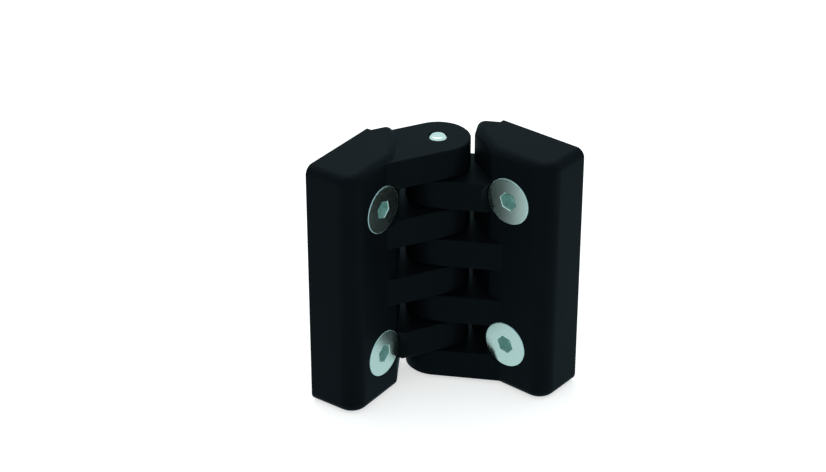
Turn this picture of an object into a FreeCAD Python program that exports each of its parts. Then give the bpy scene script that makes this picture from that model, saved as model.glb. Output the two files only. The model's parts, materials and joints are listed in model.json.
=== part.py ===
"""Two-leaf moulded plastic hinge with eight interlocking knuckles on a steel pin.

Both leaves are the same moulding, one turned over. Each is a rounded block with a flat
mounting face at its back, and four arms that end in barrel knuckles. Two countersunk
hexagon-socket screws go through each block. The leaf's own frame has the pin axis as Z,
+X out along the leaf, the mounting face towards +Y, and Z = 0 at half height.
The part's frame has its origin on the left leaf's mounting face, midway between its
screws: +Z is along the pin and +Y is the way that the left leaf's face looks.
"""
import FreeCAD
import Part
import math
import os

Vector = FreeCAD.Vector

# Leaf
LEAF_HEIGHT = 65.0
LEAF_REACH = 32.0
AXIS_STANDOFF = 15.0
BLOCK_THICKNESS = 13.4
FACE_START = 8.1
FRONT_START = 14.9
SLOPE_TILT = 31.7
CORNER_RADIUS = 4.5
END_ROUNDING = 2.25

# Knuckles and their arms
KNUCKLE_COUNT = 8
KNUCKLE_GAP = 0.45
KNUCKLE_INSET = 1.0
BARREL_RADIUS = 7.85
NOSE_CLEARANCE = 0.4
ARM_TILT = 30.0
ARM_ROOT_DEPTH = 6.0
ARM_EDGE_CHAMFER = 0.25

# Pockets moulded into the mounting face
POCKET_COLUMNS = 2
POCKET_ROWS = 3
POCKET_WIDTH = 6.0
POCKET_HEIGHT = 6.4
POCKET_DEPTH = 9.3
POCKET_RIB_WIDTH = 2.4
POCKET_RIB_HEIGHT = 2.0
POCKET_DRAFT = 1.0

# Hinge pin
PIN_RADIUS = 2.2
PIN_PROUD = 0.3
PIN_END_CHAMFER = 0.6
PIN_RUNNING_CLEARANCE = 0.05
BORE_MOUTH_CHAMFER = 0.3

# Screws
SCREW_OFFSET = 20.0
SCREW_END_DISTANCE = 12.5
SCREW_LENGTH = 20.0
THREAD_RADIUS = 3.0
THREAD_STANDOFF = 0.3
THREAD_TIP_CHAMFER = 0.6
NECK_RADIUS = 2.7
HEAD_RADIUS = 5.9
HEAD_LAND = 0.4
HEAD_CLEARANCE = 0.25
HOLE_CLEARANCE = 0.2
SOCKET_ACROSS_FLATS = 4.0
SOCKET_DEPTH = 3.4

# Turn of each screw's socket, from straight up to a corner
LEFT_TOP_SOCKET_TURN = 48.8
LEFT_BOTTOM_SOCKET_TURN = 55.5
RIGHT_TOP_SOCKET_TURN = 41.3
RIGHT_BOTTOM_SOCKET_TURN = 40.4

# Angle between the two mounting faces at rest: 0 is shut, 180 is flat
REST_OPENING = 86.0

FRONT_Y = AXIS_STANDOFF - BLOCK_THICKNESS
STACK_HEIGHT = LEAF_HEIGHT - 2.0 * KNUCKLE_INSET
KNUCKLE_HEIGHT = (STACK_HEIGHT + KNUCKLE_GAP) / KNUCKLE_COUNT - KNUCKLE_GAP
KNUCKLE_PITCH = KNUCKLE_HEIGHT + KNUCKLE_GAP
SCREW_SPACING = LEAF_HEIGHT - 2.0 * SCREW_END_DISTANCE
PIN_AXIS = Vector(SCREW_OFFSET, -AXIS_STANDOFF, 0.0)

# Along an arm from the pin to its block, and square to that towards the front
ARM = Vector(math.cos(math.radians(ARM_TILT)), math.sin(math.radians(ARM_TILT)), 0.0)
ARM_FRONT = Vector(ARM.y, -ARM.x, 0.0)


def arm_point(along, forward):
    """Return the plan point that lies so far along an arm and so far forward of its middle."""
    return ARM * along + ARM_FRONT * forward


def front_face_root():
    """Return the plan point where an arm's front runs into the block's front face."""
    along = (FRONT_Y - ARM_FRONT.y * BARREL_RADIUS) / ARM.y
    return arm_point(along, BARREL_RADIUS)


def back_face_end():
    """Return the plan point where the arms' back plane ends, at the edge of the mounting face."""
    along = (FACE_START + ARM_FRONT.x * BARREL_RADIUS) / ARM.x
    return arm_point(along, -BARREL_RADIUS)


def nose_corner():
    """Return the plan point where the block's slope meets its nose beside the other barrel."""
    slope = Vector(math.cos(math.radians(SLOPE_TILT)), -math.sin(math.radians(SLOPE_TILT)), 0.0)
    start = Vector(FRONT_START, FRONT_Y, 0.0)
    nose = BARREL_RADIUS + NOSE_CLEARANCE
    return start - slope * ((start.dot(ARM) - nose) / slope.dot(ARM))


def arc_through(start, middle, end):
    """Return the circular edge through three points."""
    return Part.Arc(start, middle, end).toShape()


def corner_arc_middle(centre, start, end):
    """Return the middle of the short arc about centre from start to end."""
    radius = start.distanceToPoint(centre)
    towards = (start + end) * 0.5 - centre
    return centre + towards.normalize() * radius


def block_outline():
    """Return the block's plan outline as two edge lists: rounded at its ends, and left sharp."""
    outer_back = Vector(LEAF_REACH, AXIS_STANDOFF, 0.0)
    corner_centre = Vector(LEAF_REACH - CORNER_RADIUS, FRONT_Y + CORNER_RADIUS, 0.0)
    outer_front = Vector(LEAF_REACH, corner_centre.y, 0.0)
    front_outer = Vector(corner_centre.x, FRONT_Y, 0.0)
    front_inner = Vector(FRONT_START, FRONT_Y, 0.0)
    nose_front = nose_corner()
    nose_back = arm_point(BARREL_RADIUS + NOSE_CLEARANCE, -BARREL_RADIUS)
    step = back_face_end()
    face_inner = Vector(FACE_START, AXIS_STANDOFF, 0.0)
    corner = corner_arc_middle(corner_centre, outer_front, front_outer)
    rounded = [
        Part.makeLine(outer_back, outer_front),
        arc_through(outer_front, corner, front_outer),
        Part.makeLine(front_outer, front_inner),
        Part.makeLine(front_inner, nose_front),
        Part.makeLine(nose_front, nose_back),
    ]
    sharp = [
        Part.makeLine(nose_back, step),
        Part.makeLine(step, face_inner),
        Part.makeLine(face_inner, outer_back),
    ]
    return rounded, sharp


def edge_middle(edge):
    """Return the point halfway along an edge."""
    first, last = edge.ParameterRange
    return edge.valueAt((first + last) / 2.0)


def end_edges(solid, outline, levels):
    """Return the solid's edges that repeat the outline's edges at the given heights."""
    middles = [edge_middle(edge) + Vector(0.0, 0.0, level) for edge in outline for level in levels]
    found = []
    for edge in solid.Edges:
        here = edge_middle(edge)
        if any(here.distanceToPoint(middle) < 1e-4 for middle in middles):
            found.append(edge)
    return found


def make_block():
    """Return the leaf's block, with rounded top and bottom edges away from the mounting side."""
    rounded, sharp = block_outline()
    face = Part.Face(Part.Wire(rounded + sharp))
    half = LEAF_HEIGHT / 2.0
    face.translate(Vector(0.0, 0.0, -half))
    solid = face.extrude(Vector(0.0, 0.0, LEAF_HEIGHT))
    return solid.makeFillet(END_ROUNDING, end_edges(solid, rounded, (-half, half)))


def make_arm(middle_z):
    """Return one arm with its knuckle, a band as wide as the barrel that runs into the block."""
    front_root = front_face_root()
    inner_root = front_root + Vector(0.0, ARM_ROOT_DEPTH, 0.0)
    back_root = back_face_end()
    barrel_front = arm_point(0.0, BARREL_RADIUS)
    barrel_back = arm_point(0.0, -BARREL_RADIUS)
    barrel_tip = arm_point(-BARREL_RADIUS, 0.0)
    outline = [
        arc_through(barrel_back, barrel_tip, barrel_front),
        Part.makeLine(barrel_front, front_root),
        Part.makeLine(front_root, inner_root),
        Part.makeLine(inner_root, back_root),
        Part.makeLine(back_root, barrel_back),
    ]
    low = middle_z - KNUCKLE_HEIGHT / 2.0
    face = Part.Face(Part.Wire(outline))
    face.translate(Vector(0.0, 0.0, low))
    solid = face.extrude(Vector(0.0, 0.0, KNUCKLE_HEIGHT))
    free = [outline[0], outline[1], outline[4]]
    return solid.makeChamfer(ARM_EDGE_CHAMFER, end_edges(solid, free, (low, low + KNUCKLE_HEIGHT)))


def knuckle_middles():
    """Return the mid heights of one leaf's knuckles: every second place, up from the lowest."""
    lowest = -STACK_HEIGHT / 2.0 + KNUCKLE_HEIGHT / 2.0
    return [lowest + KNUCKLE_PITCH * place for place in range(0, KNUCKLE_COUNT, 2)]


def revolved(points, base, direction):
    """Return the solid turned about an axis from (radius, distance along the axis) points."""
    corners = [Vector(radius, 0.0, distance) for radius, distance in points]
    wire = Part.makePolygon(corners + corners[:1])
    solid = Part.Face(wire).revolve(Vector(0.0, 0.0, 0.0), Vector(0.0, 0.0, 1.0), 360.0)
    solid.Placement = FreeCAD.Placement(base, FreeCAD.Rotation(Vector(0.0, 0.0, 1.0), direction))
    return solid


def screw_places():
    """Return the points of the block's front face where the screw axes go in."""
    return [Vector(SCREW_OFFSET, FRONT_Y, side * SCREW_SPACING / 2.0) for side in (1.0, -1.0)]


def screw_passage(place):
    """Return the tool that cuts a screw's hole, its conical seat and the space before its head."""
    mouth = HEAD_RADIUS + HEAD_CLEARANCE
    hole = THREAD_RADIUS + HOLE_CLEARANCE
    seat_start = HEAD_LAND - HEAD_CLEARANCE
    seat_end = HEAD_LAND + HEAD_RADIUS - hole
    outside = 2.0 * BARREL_RADIUS + AXIS_STANDOFF
    points = [
        (0.0, -outside),
        (mouth, -outside),
        (mouth, seat_start),
        (hole, seat_end),
        (hole, outside),
        (0.0, outside),
    ]
    return revolved(points, place, Vector(0.0, 1.0, 0.0))


def make_pocket():
    """Return the tool for one tapered pocket, with its mouth in the plane of the mounting face."""
    taper = POCKET_DEPTH * math.tan(math.radians(POCKET_DRAFT))
    mouth_x = POCKET_WIDTH / 2.0
    mouth_z = POCKET_HEIGHT / 2.0
    floor_x = mouth_x - taper
    floor_z = mouth_z - taper
    floor_y = AXIS_STANDOFF - POCKET_DEPTH
    return Part.makeWedge(
        -floor_x, floor_y, -floor_z, -mouth_z, -mouth_x,
        floor_x, AXIS_STANDOFF, floor_z, mouth_z, mouth_x,
    )


def pocket_pattern():
    """Return the pockets' tools, a grid between the two screws."""
    step_x = POCKET_WIDTH + POCKET_RIB_WIDTH
    step_z = POCKET_HEIGHT + POCKET_RIB_HEIGHT
    tool = make_pocket()
    tools = []
    for column in range(POCKET_COLUMNS):
        for row in range(POCKET_ROWS):
            copy = tool.copy()
            x = SCREW_OFFSET + step_x * (column - (POCKET_COLUMNS - 1) / 2.0)
            z = step_z * (row - (POCKET_ROWS - 1) / 2.0)
            copy.translate(Vector(x, 0.0, z))
            tools.append(copy)
    return tools


def knuckle_bore(radius):
    """Return the tool for the pin's bore, chamfered where it opens at the leaf's end knuckle."""
    outside = LEAF_HEIGHT
    mouth = radius + BORE_MOUTH_CHAMFER
    end = -STACK_HEIGHT / 2.0
    points = [
        (0.0, -outside),
        (mouth, -outside),
        (mouth, end),
        (radius, end + BORE_MOUTH_CHAMFER),
        (radius, outside),
        (0.0, outside),
    ]
    return revolved(points, Vector(0.0, 0.0, 0.0), Vector(0.0, 0.0, 1.0))


def make_leaf(bore_radius):
    """Return one leaf in its own frame, its knuckles bored to the given radius."""
    arms = [make_arm(middle) for middle in knuckle_middles()]
    body = make_block().fuse(arms).removeSplitter()
    passages = [screw_passage(place) for place in screw_places()]
    return body.cut([knuckle_bore(bore_radius)] + passages + pocket_pattern()).removeSplitter()


def make_pin():
    """Return the hinge pin, with both chamfered ends standing proud of the knuckles."""
    half = STACK_HEIGHT / 2.0 + PIN_PROUD
    neck = PIN_RADIUS - PIN_END_CHAMFER
    points = [
        (0.0, -half),
        (neck, -half),
        (PIN_RADIUS, PIN_END_CHAMFER - half),
        (PIN_RADIUS, half - PIN_END_CHAMFER),
        (neck, half),
        (0.0, half),
    ]
    return revolved(points, Vector(0.0, 0.0, 0.0), Vector(0.0, 0.0, 1.0))


def make_screw(place, corner_angle):
    """Return a countersunk screw whose socket has a corner at the given angle from straight up.

    Its neck is thinner than its thread, which starts just past the mounting face.
    """
    cone_end = HEAD_LAND + HEAD_RADIUS - NECK_RADIUS
    neck_end = BLOCK_THICKNESS + THREAD_STANDOFF
    points = [
        (0.0, 0.0),
        (HEAD_RADIUS, 0.0),
        (HEAD_RADIUS, HEAD_LAND),
        (NECK_RADIUS, cone_end),
        (NECK_RADIUS, neck_end),
        (THREAD_RADIUS, neck_end),
        (THREAD_RADIUS, SCREW_LENGTH - THREAD_TIP_CHAMFER),
        (THREAD_RADIUS - THREAD_TIP_CHAMFER, SCREW_LENGTH),
        (0.0, SCREW_LENGTH),
    ]
    blank = revolved(points, place, Vector(0.0, 1.0, 0.0))
    return blank.cut(screw_socket(place, corner_angle))


def screw_socket(place, corner_angle):
    """Return the tool for the hexagon socket."""
    corner_radius = SOCKET_ACROSS_FLATS / math.sqrt(3.0)
    corners = []
    for index in range(6):
        angle = math.radians(corner_angle + 60.0 * index)
        corners.append(Vector(corner_radius * math.sin(angle), 0.0, corner_radius * math.cos(angle)))
    prism = Part.Face(Part.makePolygon(corners + corners[:1])).extrude(Vector(0.0, SOCKET_DEPTH, 0.0))
    return prism.translated(place)


def turned_over(shape):
    """Return the shape turned half round about Y, as the left leaf and its screws lie."""
    return shape.rotated(Vector(0.0, 0.0, 0.0), Vector(0.0, 1.0, 0.0), 180.0).translated(PIN_AXIS)


def swung(shape):
    """Return the shape swung about the pin from flat to the rest opening, as on the right."""
    angle = REST_OPENING - 180.0
    return shape.rotated(Vector(0.0, 0.0, 0.0), Vector(0.0, 0.0, 1.0), angle).translated(PIN_AXIS)


def build_parts():
    """Return every sub-part by name, each in its place."""
    upper, lower = screw_places()
    return {
        "leaf_left": turned_over(make_leaf(PIN_RADIUS)),
        "leaf_right": swung(make_leaf(PIN_RADIUS + PIN_RUNNING_CLEARANCE)),
        "hinge_pin": make_pin().translated(PIN_AXIS),
        "screw_left_top": turned_over(make_screw(lower, LEFT_TOP_SOCKET_TURN)),
        "screw_left_bottom": turned_over(make_screw(upper, LEFT_BOTTOM_SOCKET_TURN)),
        "screw_right_top": swung(make_screw(upper, RIGHT_TOP_SOCKET_TURN)),
        "screw_right_bottom": swung(make_screw(lower, RIGHT_BOTTOM_SOCKET_TURN)),
    }


def main():
    """Write one STEP file for each sub-part."""
    os.makedirs("parts", exist_ok=True)
    for name, shape in build_parts().items():
        shape.exportStep(os.path.join("parts", name + ".step"))


main()
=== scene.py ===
"""Looks of a black moulded plastic hinge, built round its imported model.

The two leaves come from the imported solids, merged, with edges that the shading softens. The
screws and the pin are turned surfaces worked out as whole numpy grids, with the thread,
socket and rounded rims that the plain solids leave out. Lengths are in metres unless a
name ends in _mm.
"""
import json
import logging
import math
from dataclasses import dataclass, field
from enum import Enum

import bmesh
import bpy
import numpy as np
from mathutils import Matrix, Vector


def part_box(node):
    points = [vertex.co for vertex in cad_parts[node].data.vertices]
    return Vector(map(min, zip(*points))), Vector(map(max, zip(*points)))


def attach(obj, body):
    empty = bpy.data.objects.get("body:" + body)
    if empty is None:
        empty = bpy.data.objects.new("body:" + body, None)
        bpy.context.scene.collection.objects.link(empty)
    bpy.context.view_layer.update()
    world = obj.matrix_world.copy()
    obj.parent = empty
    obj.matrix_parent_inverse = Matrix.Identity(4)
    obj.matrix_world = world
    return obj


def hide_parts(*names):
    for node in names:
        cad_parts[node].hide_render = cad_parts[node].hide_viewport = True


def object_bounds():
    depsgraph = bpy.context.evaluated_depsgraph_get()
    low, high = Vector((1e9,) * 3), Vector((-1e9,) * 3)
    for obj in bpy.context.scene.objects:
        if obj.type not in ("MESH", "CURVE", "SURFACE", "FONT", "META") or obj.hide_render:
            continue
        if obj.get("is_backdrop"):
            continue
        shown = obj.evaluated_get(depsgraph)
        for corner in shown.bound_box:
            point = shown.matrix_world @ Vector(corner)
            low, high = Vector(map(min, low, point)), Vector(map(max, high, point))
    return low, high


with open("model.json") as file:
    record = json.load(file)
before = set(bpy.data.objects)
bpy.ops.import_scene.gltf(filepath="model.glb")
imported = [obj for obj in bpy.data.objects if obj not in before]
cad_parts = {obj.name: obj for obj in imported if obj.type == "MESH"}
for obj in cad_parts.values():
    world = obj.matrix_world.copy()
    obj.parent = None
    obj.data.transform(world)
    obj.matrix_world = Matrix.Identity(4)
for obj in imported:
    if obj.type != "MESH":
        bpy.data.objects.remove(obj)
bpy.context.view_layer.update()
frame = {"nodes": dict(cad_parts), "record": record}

MM = 0.001
FRAME_WIDTH_PX = 826

Colour = tuple[float, float, float]
Range = tuple[float, float]

# Socket types of a node group
FLOAT = "NodeSocketFloat"
VECTOR = "NodeSocketVector"

# Places of the colour sockets on a Mix node, which has others of the same names
MIX_SHARE, MIX_FIRST, MIX_SECOND, MIX_RESULT = 0, 6, 7, 2

logging.basicConfig(level=logging.INFO, format="%(name)s: %(message)s")
log = logging.getLogger("hinge")


class Slot(Enum):
    """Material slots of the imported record."""

    LEAF = "leaf_plastic"
    PIN = "pin_steel"
    SCREW = "screw_steel"


class Side(Enum):
    """The hinge's two moving bodies."""

    LEFT = "left"
    RIGHT = "right"

    @property
    def body(self) -> str:
        """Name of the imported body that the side's pieces ride on."""
        return self.value + "_side"


class Level(Enum):
    """Upper or lower screw of a leaf."""

    TOP = "top"
    BOTTOM = "bottom"


class Formed(Enum):
    """How a steel surface was formed, with its dullness in steps; from a dullness of 1 the steel
    also shows its finish's painted light colour.
    """

    TURNED = 0.0
    PRESSED = 1.0
    ROLLED = 2.0
    DRILLED = 4.0


# Degrees from straight up to a corner of each screw's socket
SOCKET_CORNERS = {
    (Side.LEFT, Level.TOP): 11.2,
    (Side.LEFT, Level.BOTTOM): 4.5,
    (Side.RIGHT, Level.TOP): 18.7,
    (Side.RIGHT, Level.BOTTOM): 19.6,
}

# Corner between a socket's drilled cone and its walls: the share of the socket's radius, how
# far below the floor in mm, how hexagonal the row is, and how it was formed
SOCKET_FLOOR_CORNER = (
    (0.985, 0.02, 0.0, Formed.DRILLED),
    (0.997, 0.0, 1.0, Formed.DRILLED),
    (1.0, -0.03, 1.0, Formed.PRESSED),
)

# Rounded lip of a socket: how far out from the wall and how far below the face, both as shares
# of the lip, and how the row was formed
SOCKET_LIP_CURVE = (
    (0.0, 1.4, Formed.PRESSED),
    (0.08, 1.0, Formed.PRESSED),
    (0.4, 0.45, Formed.TURNED),
    (0.8, 0.06, Formed.TURNED),
    (1.2, 0.0, Formed.TURNED),
    (1.6, 0.0, Formed.TURNED),
)

# One turn of the rolled thread: place in the pitch, and share of the full depth
THREAD_ROWS = (
    (0.0, 0.0),
    (0.125, 0.0),
    (0.28, 0.5),
    (0.4375, 1.0),
    (0.5625, 1.0),
    (0.6875, 1.0),
    (0.845, 0.5),
)

# Shader helpers


@dataclass
class NodeSheet:
    """Thin layer over a node tree that adds nodes and fills their inputs."""

    tree: bpy.types.NodeTree

    def add(self, kind: str, **settings: object) -> bpy.types.Node:
        """Add a node.

        Args:
            kind: Blender's name of the node's type.
            settings: Values for the node's own properties.

        Returns:
            The new node.
        """
        node = self.tree.nodes.new(kind)
        for name, value in settings.items():
            setattr(node, name, value)
        return node

    def put(self, socket: bpy.types.NodeSocket, value: object) -> None:
        """Give an input socket a plain value, or link another node's output to it.

        Args:
            socket: The input socket.
            value: The plain value, or the output.
        """
        if isinstance(value, bpy.types.NodeSocket):
            self.tree.links.new(value, socket)
        else:
            socket.default_value = value

    def feed(self, node: bpy.types.Node, **inputs: object) -> bpy.types.Node:
        """Fill a node's inputs, each with a plain value or with another node's output.

        Args:
            node: The node whose inputs are filled.
            inputs: Socket names, with _ for a space.

        Returns:
            The same node.
        """
        for name, value in inputs.items():
            self.put(node.inputs[name.replace("_", " ")], value)
        return node

    def group(self, tree: bpy.types.NodeTree, **inputs: object) -> bpy.types.Node:
        """Add a node group.

        Args:
            tree: The group's own tree.
            inputs: Socket names and values, as feed takes them.

        Returns:
            The group's node.
        """
        return self.feed(self.add("ShaderNodeGroup", node_tree=tree), **inputs)

    def maths(self, operation: str, *values: object, clamp: bool = False) -> bpy.types.NodeSocket:
        """Add a Math node.

        Args:
            operation: The Math node's operation.
            values: Plain numbers or outputs, in the order of its sockets.
            clamp: Whether the result is held between 0 and 1.

        Returns:
            The node's output.
        """
        node = self.add("ShaderNodeMath", operation=operation, use_clamp=clamp)
        for socket, value in zip(node.inputs, values):
            self.put(socket, value)
        return node.outputs[0]

    def mix(self, share: object, first: object, second: object) -> bpy.types.NodeSocket:
        """Add a Mix node for two colours.

        Args:
            share: How much of the second colour shows, from 0 to 1.
            first: A colour of three numbers, or an output.
            second: The other colour or output.

        Returns:
            The mixed colour.
        """
        node = self.add("ShaderNodeMix", data_type="RGBA")
        self.put(node.inputs[MIX_SHARE], share)
        for place, colour in ((MIX_FIRST, first), (MIX_SECOND, second)):
            opaque = (*colour, 1.0) if isinstance(colour, tuple) else colour
            self.put(node.inputs[place], opaque)
        return node.outputs[MIX_RESULT]

    def noise(self, vector: bpy.types.NodeSocket, scale: object, detail: float = 2.0,
              roughness: float = 0.5) -> bpy.types.NodeSocket:
        """Add a 3-D noise.

        Args:
            vector: The coordinates it reads.
            scale: Cells for each metre of the coordinates.
            detail: Octaves of finer noise.
            roughness: Share of each finer octave.

        Returns:
            The noise's value, from 0 to 1.
        """
        node = self.add("ShaderNodeTexNoise", noise_dimensions="3D")
        self.feed(node, Vector=vector, Scale=scale, Detail=detail, Roughness=roughness)
        return node.outputs["Fac"]

    def ramp(self, value: bpy.types.NodeSocket, low: float, high: float, to_low: float = 0.0,
             to_high: float = 1.0, smooth: bool = False) -> bpy.types.NodeSocket:
        """Map a value's range onto another range, held at both ends.

        Args:
            value: The output to map.
            low: Value that becomes to_low.
            high: Value that becomes to_high.
            to_low: Lower end of the result.
            to_high: Upper end of the result.
            smooth: Whether the step eases in and out.

        Returns:
            The mapped value.
        """
        kind = "SMOOTHSTEP" if smooth else "LINEAR"
        node = self.add("ShaderNodeMapRange", interpolation_type=kind, clamp=True)
        for socket, number in zip(node.inputs, (value, low, high, to_low, to_high)):
            self.put(socket, number)
        return node.outputs[0]

    def bump(self, height: bpy.types.NodeSocket, distance: float,
             **inputs: bpy.types.NodeSocket) -> bpy.types.NodeSocket:
        """Add a Bump node at full strength.

        Args:
            height: The height that it reads.
            distance: How far a height of 1 stands out.
            inputs: Its other sockets, as feed takes them.

        Returns:
            The bumped normal.
        """
        node = self.add("ShaderNodeBump")
        self.feed(node, Strength=1.0, Distance=distance, Height=height, **inputs)
        return node.outputs[0]


def new_material(name: str) -> tuple[bpy.types.Material, NodeSheet, bpy.types.Node]:
    """Start a material.

    Args:
        name: The material's name.

    Returns:
        The material, the sheet of its nodes, and its surface shader.
    """
    material = bpy.data.materials.new(name)
    material.use_nodes = True
    tree = material.node_tree
    return material, NodeSheet(tree), tree.nodes["Principled BSDF"]


@dataclass
class EffectLibrary:
    """Shader node groups that the finishes share, each built once.

    The dot product of an edge's rounded and true normals runs over edge_dots as the edge's
    mask goes from 0 to 1.
    """

    edge_samples: int = 6
    edge_dots: Range = (0.995, 0.86)
    pebble_smoothness: float = 0.6
    pebble_share: float = -0.6
    grain_detail: float = 3.0
    tone_per_metre: float = 70.0
    tone_roughness: float = 0.55
    ring_detail: float = 2.0
    film_per_metre: float = 260.0
    made: dict[str, bpy.types.NodeTree] = field(default_factory=dict)

    def _start(self, name: str, inputs: dict[str, str],
               outputs: dict[str, str]) -> tuple[NodeSheet, bpy.types.Node, bpy.types.Node]:
        """Start a group with its named inputs and outputs.

        Args:
            name: The group's name.
            inputs: Socket type by name.
            outputs: Socket type by name.

        Returns:
            The sheet, its input node and its output node.
        """
        tree = bpy.data.node_groups.new(name, "ShaderNodeTree")
        for in_out, sockets in (("INPUT", inputs), ("OUTPUT", outputs)):
            for label, kind in sockets.items():
                tree.interface.new_socket(label, in_out=in_out, socket_type=kind)
        sheet = NodeSheet(tree)
        self.made[name] = tree
        return sheet, sheet.add("NodeGroupInput"), sheet.add("NodeGroupOutput")

    def soft_edges(self) -> bpy.types.NodeTree:
        """Group that rounds edges in the shading and marks where they are.

        Returns:
            A group with the rounded normal, and a mask that is 1 on an edge.
        """
        name = "Softened edges"
        if name not in self.made:
            sheet, given, out = self._start(
                name, {"Radius": FLOAT}, {"Normal": VECTOR, "Edge": FLOAT})
            bevel = sheet.add("ShaderNodeBevel", samples=self.edge_samples)
            sheet.feed(bevel, Radius=given.outputs["Radius"])
            surface = sheet.add("ShaderNodeNewGeometry")
            dot = sheet.add("ShaderNodeVectorMath", operation="DOT_PRODUCT")
            sheet.put(dot.inputs[0], bevel.outputs["Normal"])
            sheet.put(dot.inputs[1], surface.outputs["Normal"])
            edge = sheet.ramp(dot.outputs["Value"], *self.edge_dots, smooth=True)
            sheet.feed(out, Normal=bevel.outputs["Normal"], Edge=edge)
        return self.made[name]

    def moulded_grain(self) -> bpy.types.NodeTree:
        """Group for the fine pebbled grain that a spark-eroded mould leaves.

        Returns:
            A group with the grain's height, and a slow tone that changes over centimetres.
        """
        name = "Moulded grain"
        if name not in self.made:
            sheet, given, out = self._start(
                name, {"Vector": VECTOR, "Grain": FLOAT}, {"Height": FLOAT, "Tone": FLOAT})
            vector, grain = given.outputs["Vector"], given.outputs["Grain"]
            pebbles = sheet.add("ShaderNodeTexVoronoi", feature="SMOOTH_F1")
            sheet.feed(pebbles, Vector=vector, Scale=grain, Smoothness=self.pebble_smoothness)
            height = sheet.maths("MULTIPLY_ADD", pebbles.outputs["Distance"], self.pebble_share,
                                 sheet.noise(vector, grain, self.grain_detail))
            tone = sheet.noise(vector, self.tone_per_metre, self.grain_detail, self.tone_roughness)
            sheet.feed(out, Height=height, Tone=tone)
        return self.made[name]

    def turned_rings(self) -> bpy.types.NodeTree:
        """Group for the fine rings that turning leaves, along a coordinate in metres.

        Returns:
            A group with the rings' height, and a mask for a thin uneven film on the metal.
        """
        name = "Turned rings"
        if name not in self.made:
            sheet, given, out = self._start(
                name, {"Along": FLOAT, "Vector": VECTOR, "Rings": FLOAT},
                {"Height": FLOAT, "Film": FLOAT})
            rings = sheet.add("ShaderNodeTexNoise", noise_dimensions="1D")
            sheet.feed(rings, W=given.outputs["Along"], Scale=given.outputs["Rings"],
                       Detail=self.ring_detail)
            film = sheet.noise(given.outputs["Vector"], self.film_per_metre)
            sheet.feed(out, Height=rings.outputs["Fac"], Film=film)
        return self.made[name]


@dataclass(frozen=True)
class PlasticFinish:
    """Black glass-filled polyamide with a satin sheen and a fine moulded grain.

    The colour goes from dark to light and the roughness from its first value to its second,
    as the grain's slow tone runs over colour_tones and roughness_tones. On edges,
    painted_edge_highlight_share of the painted edge highlight colour shows, a lighter colour that
    stands in for the highlights that rounded edges catch, and the roughness falls by edge_polish.
    """

    name: str = "Black moulded polyamide"
    dark: Colour = (0.0034, 0.0046, 0.0057)
    light: Colour = (0.0042, 0.0057, 0.0070)
    colour_tones: Range = (0.35, 0.65)
    # Lighter colour painted on the edges as a highlight
    painted_edge_highlight: Colour = (0.008, 0.011, 0.013)
    painted_edge_highlight_share: float = 0.6
    roughness: Range = (0.44, 0.52)
    roughness_tones: Range = (0.3, 0.7)
    edge_polish: float = 0.08
    specular: float = 0.04
    sheen_tint: Colour = (0.62, 0.93, 1.0)
    grain_per_metre: float = 1500.0
    grain_depth: float = 0.027 * MM
    edge_radius: float = 0.22 * MM

    def build(self, effects: EffectLibrary) -> bpy.types.Material:
        """Make the material.

        Args:
            effects: The shared shader groups.

        Returns:
            The finished material.
        """
        material, sheet, surface = new_material(self.name)
        place = sheet.add("ShaderNodeTexCoord").outputs["Object"]
        grain = sheet.group(effects.moulded_grain(), Vector=place, Grain=self.grain_per_metre)
        tone = grain.outputs["Tone"]
        edges = sheet.group(effects.soft_edges(), Radius=self.edge_radius)
        edge = edges.outputs["Edge"]
        body = sheet.mix(sheet.ramp(tone, *self.colour_tones), self.dark, self.light)
        # Edges are painted lighter: a painted highlight on the rounded edges
        colour = sheet.mix(sheet.maths("MULTIPLY", edge, self.painted_edge_highlight_share), body, self.painted_edge_highlight)
        shine = sheet.ramp(tone, *self.roughness_tones, *self.roughness)
        shine = sheet.maths("MULTIPLY_ADD", edge, -self.edge_polish, shine)
        normal = sheet.bump(grain.outputs["Height"], self.grain_depth,
                            Normal=edges.outputs["Normal"])
        sheet.feed(surface, Base_Color=colour, Roughness=shine, Normal=normal,
                   Specular_IOR_Level=self.specular, Specular_Tint=(*self.sheen_tint, 1.0))
        return material


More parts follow.
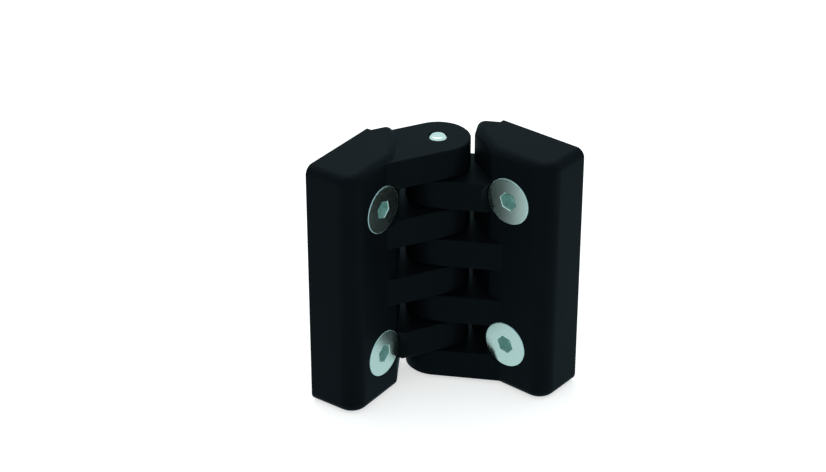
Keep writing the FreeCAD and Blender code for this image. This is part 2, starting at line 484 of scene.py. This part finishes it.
@dataclass(frozen=True)
class SteelFinish:
    """Bright steel, with fine rings that follow the Turned map of the piece.

    The map's first value is the distance along the turned profile in metres, and its second
    the surface's dullness. A dullness of 1 or more shows the painted light colour, which is
    painted light in the sockets and a painted highlight on the rims of the heads, and each step
    of it adds dull_roughness. Elsewhere the colour goes to film and the roughness from its first
    value to its second, as the uneven film's mask runs over film_masks and roughness_masks.
    """

    name: str
    colour: Colour
    film: Colour
    # Lighter, greener colour: painted light in the sockets and a painted highlight on the heads'
    # rims
    painted_light: Colour
    roughness: Range
    film_masks: Range = (0.45, 0.75)
    roughness_masks: Range = (0.3, 0.7)
    dull_roughness: float = 0.20
    rings_per_metre: float = 2500.0
    ring_depth: float = 0.0003 * MM

    def build(self, effects: EffectLibrary) -> bpy.types.Material:
        """Make the material.

        Args:
            effects: The shared shader groups.

        Returns:
            The finished material.
        """
        material, sheet, surface = new_material(self.name)
        place = sheet.add("ShaderNodeTexCoord").outputs["Object"]
        turned = sheet.add("ShaderNodeSeparateXYZ")
        sheet.put(turned.inputs[0], sheet.add("ShaderNodeUVMap", uv_map="Turned").outputs[0])
        dullness = turned.outputs["Y"]
        rings = sheet.group(effects.turned_rings(), Along=turned.outputs["X"], Vector=place,
                            Rings=self.rings_per_metre)
        film = rings.outputs["Film"]
        tint = sheet.mix(sheet.ramp(film, *self.film_masks), self.colour, self.film)
        # Sockets and rims take the painted light colour: painted light in the sockets, a painted
        # highlight on the rims
        colour = sheet.mix(dullness, tint, self.painted_light)
        shine = sheet.ramp(film, *self.roughness_masks, *self.roughness)
        shine = sheet.maths("MULTIPLY_ADD", dullness, self.dull_roughness, shine)
        normal = sheet.bump(rings.outputs["Height"], self.ring_depth)
        sheet.feed(surface, Base_Color=colour, Roughness=shine, Metallic=1.0, Normal=normal)
        return material


SCREW_ZINC = SteelFinish(
    name="Bright zinc-plated steel",
    colour=(0.76, 0.80, 0.69),
    film=(0.745, 0.785, 0.68),
    painted_light=(0.76, 0.89, 0.84),
    roughness=(0.235, 0.25),
)
PIN_STEEL = SteelFinish(
    name="Bright turned steel",
    colour=(0.99, 0.96, 0.84),
    film=(0.98, 0.95, 0.83),
    painted_light=(0.80, 0.82, 0.80),
    roughness=(0.10, 0.13),
)

# Turned pieces


@dataclass
class GridSurface:
    """Closed surface gathered from grids of points, welded where they meet."""

    name: str
    weld: float = 1e-7
    points: list[np.ndarray] = field(default_factory=list)
    faces: list[np.ndarray] = field(default_factory=list)
    along: list[np.ndarray] = field(default_factory=list)
    dullness: list[np.ndarray] = field(default_factory=list)
    count: int = 0

    def add(self, grid: np.ndarray, along: np.ndarray,
            dullness: float | np.ndarray = Formed.TURNED.value) -> None:
        """Add one grid of points, as quads between neighbours.

        Args:
            grid: Points by row and column, with the last column on the first.
            along: Distance along the profile at each point.
            dullness: How dull the steel is at each point.
        """
        shape = grid.shape[:2]
        size = shape[0] * shape[1]
        index = np.arange(size).reshape(shape) + self.count
        quads = np.stack([index[:-1, :-1], index[:-1, 1:], index[1:, 1:], index[1:, :-1]], axis=-1)
        self.points.append(grid.reshape(-1, 3))
        self.faces.append(quads.reshape(-1, 4))
        self.along.append(np.broadcast_to(along, shape).reshape(-1))
        self.dullness.append(np.broadcast_to(dullness, shape).reshape(-1))
        self.count += size

    def build(self, place: Matrix, sharp_degrees: float = 40.0) -> bpy.types.Object:
        """Make the object, with its place in its mesh.

        Args:
            place: Where the surface's own frame lies in the hinge's frame.
            sharp_degrees: Edges that turn by more than this stay sharp.

        Returns:
            The new object, at the origin.
        """
        turn = np.array(place, float)
        points = np.concatenate(self.points) @ turn[:3, :3].T + turn[:3, 3]
        mesh = bpy.data.meshes.new(self.name)
        mesh.from_pydata(points, [], np.concatenate(self.faces))
        layer = mesh.uv_layers.new(name="Turned")
        corners = np.empty(len(mesh.loops), np.int64)
        mesh.loops.foreach_get("vertex_index", corners)
        values = np.stack([np.concatenate(self.along), np.concatenate(self.dullness)], axis=1)
        layer.data.foreach_set("uv", values[corners].astype(np.float32).ravel())
        edit = bmesh.new()
        edit.from_mesh(mesh)
        bmesh.ops.remove_doubles(edit, verts=edit.verts, dist=self.weld)
        bmesh.ops.recalc_face_normals(edit, faces=edit.faces)
        edit.to_mesh(mesh)
        edit.free()
        finish_shading(mesh, sharp_degrees)
        piece = bpy.data.objects.new(self.name, mesh)
        bpy.context.scene.collection.objects.link(piece)
        return piece


def finish_shading(mesh: bpy.types.Mesh, sharp_degrees: float) -> None:
    """Shade a mesh smooth, except across edges that turn by more than an angle."""
    mesh.shade_smooth()
    mesh.set_sharp_from_angle(angle=math.radians(sharp_degrees))


def rounded_corners(points: list[tuple[float, float, float]], steps: int = 5,
                    hold: float = 0.04 * MM) -> np.ndarray:
    """Round the corners of a profile.

    Each corner with a radius is swapped for points on a quadratic curve that starts and ends
    one radius away from it along its two sides, which is close to a circular arc. One more
    point just outside each end of the curve keeps the shading of the flat sides flat.

    Args:
        points: Radius, depth and corner rounding of each profile point.
        steps: Points on each rounded corner.
        hold: Distance of the outside points from the curve's ends.

    Returns:
        An array of (radius, depth) rows.
    """
    corners = np.array(points, float)
    t = np.linspace(0.0, 1.0, steps)[:, None]
    rows = [corners[:1, :2]]
    for before, here, after in zip(corners[:-2], corners[1:-1], corners[2:]):
        corner, rounding = here[:2], here[2]
        if rounding <= 0.0:
            rows.append(corner[None])
            continue
        back = (before[:2] - corner) / np.linalg.norm(before[:2] - corner)
        ahead = (after[:2] - corner) / np.linalg.norm(after[:2] - corner)
        start = corner + back * rounding
        end = corner + ahead * rounding
        rows.append((start + back * hold)[None])
        rows.append((1 - t) ** 2 * start + 2 * t * (1 - t) * corner + t ** 2 * end)
        rows.append((end + ahead * hold)[None])
    rows.append(corners[-1:, :2])
    return np.concatenate(rows)


def full_turn(columns: int) -> np.ndarray:
    """Return the angles of a full turn as a row, with the last on the first."""
    return np.linspace(0.0, 2.0 * np.pi, columns + 1)[None, :]


def about_axis(radius: np.ndarray, angle: np.ndarray, depth: np.ndarray) -> np.ndarray:
    """Return points about the depth axis: (r sin a, r cos a, depth) for the angle a."""
    return np.stack([radius * np.sin(angle), radius * np.cos(angle), depth], axis=-1)


def turned_grid(profile: np.ndarray, columns: int, shape: float | np.ndarray = 1.0) -> np.ndarray:
    """Turn a profile about the depth axis, with a radius of the profile's times the shape.

    Args:
        profile: Rows of (radius, depth).
        columns: Steps round the axis.
        shape: Factor on the radius by row and column, or 1 for a round piece.

    Returns:
        Points by row and column.
    """
    angle = full_turn(columns)
    radius = profile[:, :1] * (np.ones_like(angle) * shape)
    return about_axis(radius, angle, np.broadcast_to(profile[:, 1:], radius.shape))


def arc_length(profile: np.ndarray) -> np.ndarray:
    """Return the distance along a profile at each of its rows, as a column."""
    steps = np.linalg.norm(np.diff(profile, axis=0), axis=1)
    return np.concatenate([[0.0], np.cumsum(steps)])[:, None]


@dataclass
class CountersunkScrew:
    """M6 countersunk screw with a hexagon socket, a rounded rim and a rolled thread.

    Its own frame has its origin in the middle of the head's flat face, and its depth, +Z,
    goes into the leaf.
    """

    side: Side
    level: Level
    corner_degrees: float
    block_thickness: float = 13.4 * MM
    spacing: float = 40.0 * MM
    head_radius: float = 5.9 * MM
    land: float = 0.4 * MM
    rim_rounding: float = 0.18 * MM
    edge_rounding: float = 0.06 * MM
    flats: float = 4.0 * MM
    socket_depth: float = 3.4 * MM
    socket_lip: float = 0.12 * MM
    socket_margin: float = 0.7 * MM
    drill_half_degrees: float = 60.0
    socket_rings_from: float = 0.5
    face_hold: float = 0.4 * MM
    neck_radius: float = 2.7 * MM
    neck_rounding: float = 0.4 * MM
    thread_radius: float = 3.0 * MM
    thread_start: float = 13.7 * MM
    thread_chamfer: float = 0.5 * MM
    thread_land: float = 0.1 * MM
    thread_depth: float = 0.61 * MM
    pitch: float = 1.0 * MM
    fade_in_pitches: float = 0.8
    fade_out_pitches: float = 0.5
    thread_end_gap: float = 0.15 * MM
    length: float = 20.0 * MM
    tip_chamfer: float = 0.6 * MM
    tip_side_rounding: float = 0.08 * MM
    tip_end_rounding: float = 0.12 * MM
    tip_hold: float = 0.9 * MM
    columns: int = 144
    sharp_degrees: float = 34.0

    @property
    def name(self) -> str:
        """The piece's name."""
        return f"{self.side.value}_{self.level.value}_screw"

    @property
    def node(self) -> str:
        """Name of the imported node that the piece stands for."""
        return f"screw_{self.side.value}_{self.level.value}"

    @property
    def socket_reach(self) -> float:
        """Radius of the circle where the socket's grid meets the head's."""
        return self.flats / 2.0 + self.socket_lip + self.socket_margin

    def place(self, record: dict) -> Matrix:
        """Return where the screw's own frame lies.

        The frame is turned about its own axis, so that a corner of the socket lies at
        corner_degrees from straight up.

        Args:
            record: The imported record, whose mounting faces carry the screws.

        Returns:
            A matrix from the screw's frame to the hinge's frame.
        """
        face = next(m for m in record["mounts"] if m["name"] == "face_" + self.side.value)
        inwards = Vector(face["axis"]).normalized()
        up = Vector((0.0, 0.0, 1.0))
        across = up.cross(inwards)
        rise = self.spacing / 2.0 if self.level is Level.TOP else -self.spacing / 2.0
        origin = Vector(face["pos_m"]) - inwards * self.block_thickness + up * rise
        turn = Matrix((across, up, inwards)).transposed().to_4x4()
        socket_turn = Matrix.Rotation(-math.radians(self.corner_degrees), 4, "Z")
        return Matrix.Translation(origin) @ turn @ socket_turn

    def hexagon(self) -> np.ndarray:
        """Return a hexagon's radius over its inner circle's, for each column.

        The radius is 1 / cos(b), where b is the angle from the middle of the nearest flat.
        """
        from_flat = (np.linspace(0.0, 360.0, self.columns + 1) % 60.0) - 30.0
        return 1.0 / np.cos(np.radians(from_flat))

    def socket(self) -> tuple[np.ndarray, np.ndarray, np.ndarray]:
        """Work out the socket, from the drill's tip up its walls to the head's face.

        Rows blend from a circle to the hexagon with a factor of 1 + h (hexagon - 1), where h
        is 0 on the drilled cone and on the last row, and 1 between them.

        Returns:
            The grid, the radius of each row, and the dullness of each row.
        """
        inner = self.flats / 2.0
        floor, lip = self.socket_depth, self.socket_lip
        cone = inner / math.tan(math.radians(self.drill_half_degrees))
        rows = [(0.0, floor + cone, 0.0, Formed.DRILLED),
                (inner / 2.0, floor + cone / 2.0, 0.0, Formed.DRILLED)]
        rows += [(inner * share, floor + below_mm * MM, hexagonal, formed)
                 for share, below_mm, hexagonal, formed in SOCKET_FLOOR_CORNER]
        rows += [(inner + lip * out, lip * down, 1.0, formed)
                 for out, down, formed in SOCKET_LIP_CURVE]
        rows += [(self.socket_reach, 0.0, 0.0, Formed.TURNED)]
        table = np.array([(*numbers, formed.value) for *numbers, formed in rows])
        shape = 1.0 + table[:, 2:3] * (self.hexagon()[None, :] - 1.0)
        grid = turned_grid(table[:, :2], self.columns, shape)
        return grid, table[:, :1], table[:, 3:]

    def head(self) -> np.ndarray:
        """Work out the profile from the flat face round the rim to the shank.

        The underside is a 45-degree cone, so it gains in depth what it loses in radius.

        Returns:
            Rows of radius and depth.
        """
        under = self.land + self.head_radius - self.neck_radius
        points = [
            (self.socket_reach, 0.0, 0.0),
            (self.socket_reach + self.face_hold, 0.0, 0.0),
            (self.head_radius, 0.0, self.rim_rounding),
            (self.head_radius, self.land, self.edge_rounding),
            (self.neck_radius, under, self.neck_rounding),
            (self.neck_radius, self.thread_start - self.thread_chamfer, 0.0),
            (self.thread_radius, self.thread_start, self.edge_rounding),
            (self.thread_radius, self.thread_start + self.thread_land, 0.0),
        ]
        return rounded_corners(points)

    def thread(self, start: float, end: float) -> tuple[np.ndarray, np.ndarray]:
        """Work out the thread between two depths.

        Each row is a helix: its depth is d + pitch a / (2 pi) for the angle a, held between
        start and end, so crests and roots run along rows. The radius is the shank's less the
        thread's depth times a trapezoid of the row's place in the pitch, faded at both ends.

        Args:
            start: Depth where the thread begins.
            end: Depth where it runs out.

        Returns:
            The grid, and the depth at each of its points.
        """
        phases, cut = np.array(THREAD_ROWS).T
        turns = np.arange(-1, math.ceil((end - start) / self.pitch) + 1)
        rows = (turns[:, None] + phases[None, :]).reshape(-1, 1) * self.pitch + start
        weight = np.tile(cut, len(turns))[:, None]
        angle = full_turn(self.columns)
        depth = np.clip(rows + self.pitch * angle / (2.0 * np.pi), start, end)
        fade_in = np.clip((depth - start) / (self.fade_in_pitches * self.pitch), 0.0, 1.0)
        fade_out = np.clip((end - depth) / (self.fade_out_pitches * self.pitch), 0.0, 1.0)
        fade = fade_in ** 2 * (3 - 2 * fade_in) * fade_out
        radius = self.thread_radius - self.thread_depth * weight * fade
        return about_axis(radius, angle, depth), depth

    def tip(self, start: float) -> np.ndarray:
        """Work out the profile of the chamfered tip, down to its middle.

        Args:
            start: Depth where the thread has run out.

        Returns:
            Rows of radius and depth.
        """
        end = self.length
        points = [
            (self.thread_radius, start, 0.0),
            (self.thread_radius, end - self.tip_chamfer, self.tip_side_rounding),
            (self.thread_radius - self.tip_chamfer, end, self.tip_end_rounding),
            (self.tip_hold, end, 0.0),
            (0.0, end, 0.0),
        ]
        return rounded_corners(points)

    def build(self, record: dict, finish: bpy.types.Material) -> bpy.types.Object:
        """Make the screw and fix it to its leaf's body.

        Args:
            record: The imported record.
            finish: The steel's material.

        Returns:
            The screw's object.
        """
        surface = GridSurface(self.name)
        grid, radius, dullness = self.socket()
        # The socket's pressed and drilled rows also show the finish's painted light colour
        surface.add(grid, radius + self.socket_rings_from, dullness)
        head = self.head()
        # The rim counts as rolled, so it also shows the finish's painted light colour as a painted
        # highlight
        on_rim = head[:, :1] > self.head_radius - self.rim_rounding
        dullness = np.where(on_rim, Formed.ROLLED.value, Formed.TURNED.value)
        surface.add(turned_grid(head, self.columns), arc_length(head), dullness)
        end = self.length - self.tip_chamfer - self.thread_end_gap
        surface.add(*self.thread(head[-1, 1], end))
        tip = self.tip(end)
        surface.add(turned_grid(tip, self.columns), arc_length(tip))
        piece = surface.build(self.place(record), self.sharp_degrees)
        piece.data.materials.append(finish)
        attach(piece, self.side.body)
        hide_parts(self.node)
        return piece


@dataclass
class HingePin:
    """Straight steel pin with chamfered, slightly rounded ends that stand proud."""

    radius: float = 2.2 * MM
    chamfer: float = 0.6 * MM
    end_rounding: float = 0.2 * MM
    side_rounding: float = 0.1 * MM
    end_hold_share: float = 0.6
    columns: int = 128

    def profile(self, low: float, high: float) -> np.ndarray:
        """Work out the profile from one end's middle to the other's.

        Args:
            low: Height of the lower end.
            high: Height of the upper end.

        Returns:
            Rows of radius and height.
        """
        flat = self.radius - self.chamfer
        points = [
            (0.0, low, 0.0),
            (flat * self.end_hold_share, low, 0.0),
            (flat, low, self.end_rounding),
            (self.radius, low + self.chamfer, self.side_rounding),
            (self.radius, high - self.chamfer, self.side_rounding),
            (flat, high, self.end_rounding),
            (flat * self.end_hold_share, high, 0.0),
            (0.0, high, 0.0),
        ]
        return rounded_corners(points)

    def build(self, finish: bpy.types.Material) -> bpy.types.Object:
        """Make the pin and fix it to the left side.

        Args:
            finish: The steel's material.

        Returns:
            The pin's object.
        """
        low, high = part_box("hinge_pin")
        middle = (low + high) / 2.0
        profile = self.profile(low.z, high.z)
        surface = GridSurface("turned_pin")
        surface.add(turned_grid(profile, self.columns), arc_length(profile))
        piece = surface.build(Matrix.Translation((middle.x, middle.y, 0.0)))
        piece.data.materials.append(finish)
        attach(piece, Side.LEFT.body)
        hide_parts("hinge_pin")
        return piece


@dataclass
class MouldedLeaf:
    """One leaf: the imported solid, merged, with smooth roundings and flat faces."""

    side: Side
    merge: float = 2e-6
    shortest_edge: float = 1e-6
    sharp_degrees: float = 26.0
    flat_face_weight: int = 50

    def build(self, finish: bpy.types.Material) -> bpy.types.Object:
        """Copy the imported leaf, merge it, even out its shading and dress it.

        The shading normals are weighted by the faces' areas, so flat faces stay flat up to
        the roundings that run into them.

        Args:
            finish: The plastic's material.

        Returns:
            The leaf's object.
        """
        node = frame["nodes"]["leaf_" + self.side.value]
        mesh = node.data.copy()
        mesh.name = f"{self.side.value}_leaf"
        edit = bmesh.new()
        edit.from_mesh(mesh)
        bmesh.ops.remove_doubles(edit, verts=edit.verts, dist=self.merge)
        bmesh.ops.dissolve_degenerate(edit, edges=edit.edges, dist=self.shortest_edge)
        edit.to_mesh(mesh)
        edit.free()
        if mesh.has_custom_normals:
            mesh.attributes.remove(mesh.attributes["custom_normal"])
        finish_shading(mesh, self.sharp_degrees)
        piece = bpy.data.objects.new(mesh.name, mesh)
        bpy.context.scene.collection.objects.link(piece)
        weighted = piece.modifiers.new("Flat faces stay flat", "WEIGHTED_NORMAL")
        weighted.mode = "FACE_AREA"
        weighted.weight = self.flat_face_weight
        weighted.keep_sharp = True
        mesh.materials.clear()
        mesh.materials.append(finish)
        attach(piece, self.side.body)
        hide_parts(node.name)
        return piece


# Studio


@dataclass(frozen=True)
class Studio:
    """White surroundings, a pale floor under the hinge, a soft lamp and the camera.

    The surroundings light the hinge with the lighting colour, and metal and gloss show them
    in the mirrored colour. There the floor's paint is only floor_mirrored_share as bright,
    and floor_mirrored_lift of the mirrored colour is added, so that the floor and the
    surroundings look alike in metal.
    """

    camera_place: tuple[float, float, float] = (-362.40 * MM, -280.43 * MM, 272.98 * MM)
    view_direction: tuple[float, float, float] = (0.70612, 0.50137, -0.5)
    lens_mm: float = 96.06
    sensor_mm: float = 36.0
    shift: Range = (-4.12 / FRAME_WIDTH_PX, -0.6 / FRAME_WIDTH_PX)
    clip: Range = (0.01, 20.0)
    white: Colour = (1.0, 1.0, 1.0)
    lighting: Colour = (0.96, 1.0, 1.0)
    lighting_strength: float = 0.62
    mirrored: Colour = (0.63, 0.93, 1.04)
    mirrored_strength: float = 0.82
    floor_half_side: float = 6.0
    floor_paint: Colour = (0.80, 0.82, 0.82)
    floor_roughness: float = 0.9
    floor_lift: float = 0.60
    floor_mirrored_share: float = 0.25
    floor_mirrored_lift: float = 0.74
    lamp_place: tuple[float, float, float] = (0.25, 0.3, 1.0)
    lamp_side: float = 0.9
    lamp_watts: float = 3.4

    @staticmethod
    def dimmed(colour: Colour, strength: float) -> Colour:
        """Return a colour times a strength."""
        red, green, blue = colour
        return red * strength, green * strength, blue * strength

    @staticmethod
    def aim(name: str, data: bpy.types.ID, place: tuple[float, float, float],
            direction: Vector) -> bpy.types.Object:
        """Hang a camera or lamp and point it.

        Args:
            name: The object's name.
            data: The camera's or lamp's own data.
            place: Where it hangs, in metres.
            direction: Where it looks.

        Returns:
            The new object.
        """
        thing = bpy.data.objects.new(name, data)
        thing.location = place
        thing.rotation_mode = "QUATERNION"
        thing.rotation_quaternion = direction.to_track_quat("-Z", "Y")
        bpy.context.scene.collection.objects.link(thing)
        return thing

    def camera(self) -> None:
        """Make the camera at the photograph's viewing angle."""
        lens = bpy.data.cameras.new("Camera")
        lens.sensor_width = self.sensor_mm
        lens.sensor_fit = "HORIZONTAL"
        lens.lens = self.lens_mm
        lens.shift_x, lens.shift_y = self.shift
        lens.clip_start, lens.clip_end = self.clip
        bpy.context.scene.camera = self.aim("Camera", lens, self.camera_place,
                                            Vector(self.view_direction))

    def world(self) -> None:
        """Make the surroundings: white to the camera, and pale to what they light."""
        world = bpy.data.worlds.new("Studio")
        world.use_nodes = True
        sheet = NodeSheet(world.node_tree)
        path = sheet.add("ShaderNodeLightPath")
        light = sheet.mix(path.outputs["Is Glossy Ray"],
                          self.dimmed(self.lighting, self.lighting_strength),
                          self.dimmed(self.mirrored, self.mirrored_strength))
        colour = sheet.mix(path.outputs["Is Camera Ray"], light, self.white)
        sheet.feed(world.node_tree.nodes["Background"], Color=colour)
        bpy.context.scene.world = world

    def floor(self) -> None:
        """Make the floor, lifted to white for the camera where no shadow falls."""
        low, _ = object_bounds()
        mesh = bpy.data.meshes.new("floor")
        corners = np.array([(-1, -1, 0), (1, -1, 0), (1, 1, 0), (-1, 1, 0)], float)
        corners *= self.floor_half_side
        corners[:, 2] = low.z
        mesh.from_pydata(corners, [], [(0, 1, 2, 3)])
        floor = bpy.data.objects.new("floor", mesh)
        bpy.context.scene.collection.objects.link(floor)
        material, sheet, surface = new_material("Pale floor")
        path = sheet.add("ShaderNodeLightPath").outputs
        paint = sheet.mix(path["Is Glossy Ray"], self.floor_paint,
                          self.dimmed(self.floor_paint, self.floor_mirrored_share))
        lift = sheet.mix(path["Is Camera Ray"],
                         self.dimmed(self.mirrored, self.floor_mirrored_lift),
                         self.dimmed(self.white, self.floor_lift))
        seen = sheet.maths("ADD", path["Is Camera Ray"], path["Is Glossy Ray"], clamp=True)
        sheet.feed(surface, Base_Color=paint, Roughness=self.floor_roughness,
                   Specular_IOR_Level=0.0, Emission_Color=lift, Emission_Strength=seen)
        mesh.materials.append(material)
        floor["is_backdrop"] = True

    def lamp(self) -> None:
        """Make the soft square lamp overhead, which looks at the hinge."""
        light = bpy.data.lights.new("Top", "AREA")
        light.size = self.lamp_side
        light.energy = self.lamp_watts
        self.aim("Top", light, self.lamp_place, -Vector(self.lamp_place))

    def build(self) -> None:
        """Make the whole studio."""
        self.camera()
        self.world()
        self.floor()
        self.lamp()
        bpy.context.scene.view_settings.view_transform = "Standard"


def main() -> None:
    """Build the hinge's pieces in order, dress them, and set up the studio."""
    effects = EffectLibrary()
    plastic = PlasticFinish().build(effects)
    zinc = SCREW_ZINC.build(effects)
    bright = PIN_STEEL.build(effects)
    for side in Side:
        leaf = MouldedLeaf(side).build(plastic)
        log.info("%s: %d faces", leaf.name, len(leaf.data.polygons))
    pin = HingePin().build(bright)
    log.info("%s: %d faces", pin.name, len(pin.data.polygons))
    for (side, level), corner in SOCKET_CORNERS.items():
        screw = CountersunkScrew(side, level, corner).build(frame["record"], zinc)
        log.info("%s: %d faces", screw.name, len(screw.data.polygons))
    Studio().build()


if __name__ == "__main__":
    main()
